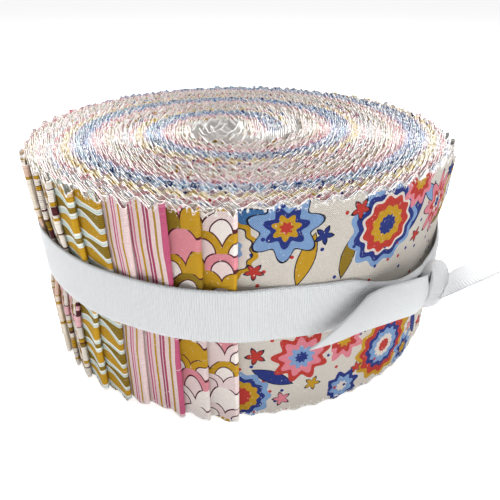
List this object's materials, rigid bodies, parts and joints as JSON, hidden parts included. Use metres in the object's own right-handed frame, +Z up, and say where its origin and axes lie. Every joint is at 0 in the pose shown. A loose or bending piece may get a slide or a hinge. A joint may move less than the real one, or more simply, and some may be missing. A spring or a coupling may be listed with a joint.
{
  "type": "jelly roll fabric strips tied with a ribbon",
  "caption": "Standing roll of folded quilting-cotton strips with pinked edges, wound as one stack with their folded ends in steps round the side, tied with a plain white ribbon.",
  "frame": {"origin": "centre of the flat end that the roll stands on, on the roll's axis", "axes": "+Z up along the roll's axis, -Y to the front where the innermost strip's folded end shows, +X to the side where the ribbon's long tail stands away"},
  "size_m": [0.1594, 0.13, 0.063],
  "materials": {
    "printed_cotton": "plain-woven printed quilting cotton, matt, with pinked edges",
    "white_ribbon": "ribbed white grosgrain ribbon, soft sheen"
  },
  "bodies": {
    "root": {"strip_roll": "printed_cotton", "ribbon_tie": "white_ribbon"}
  },
  "joints": []
}
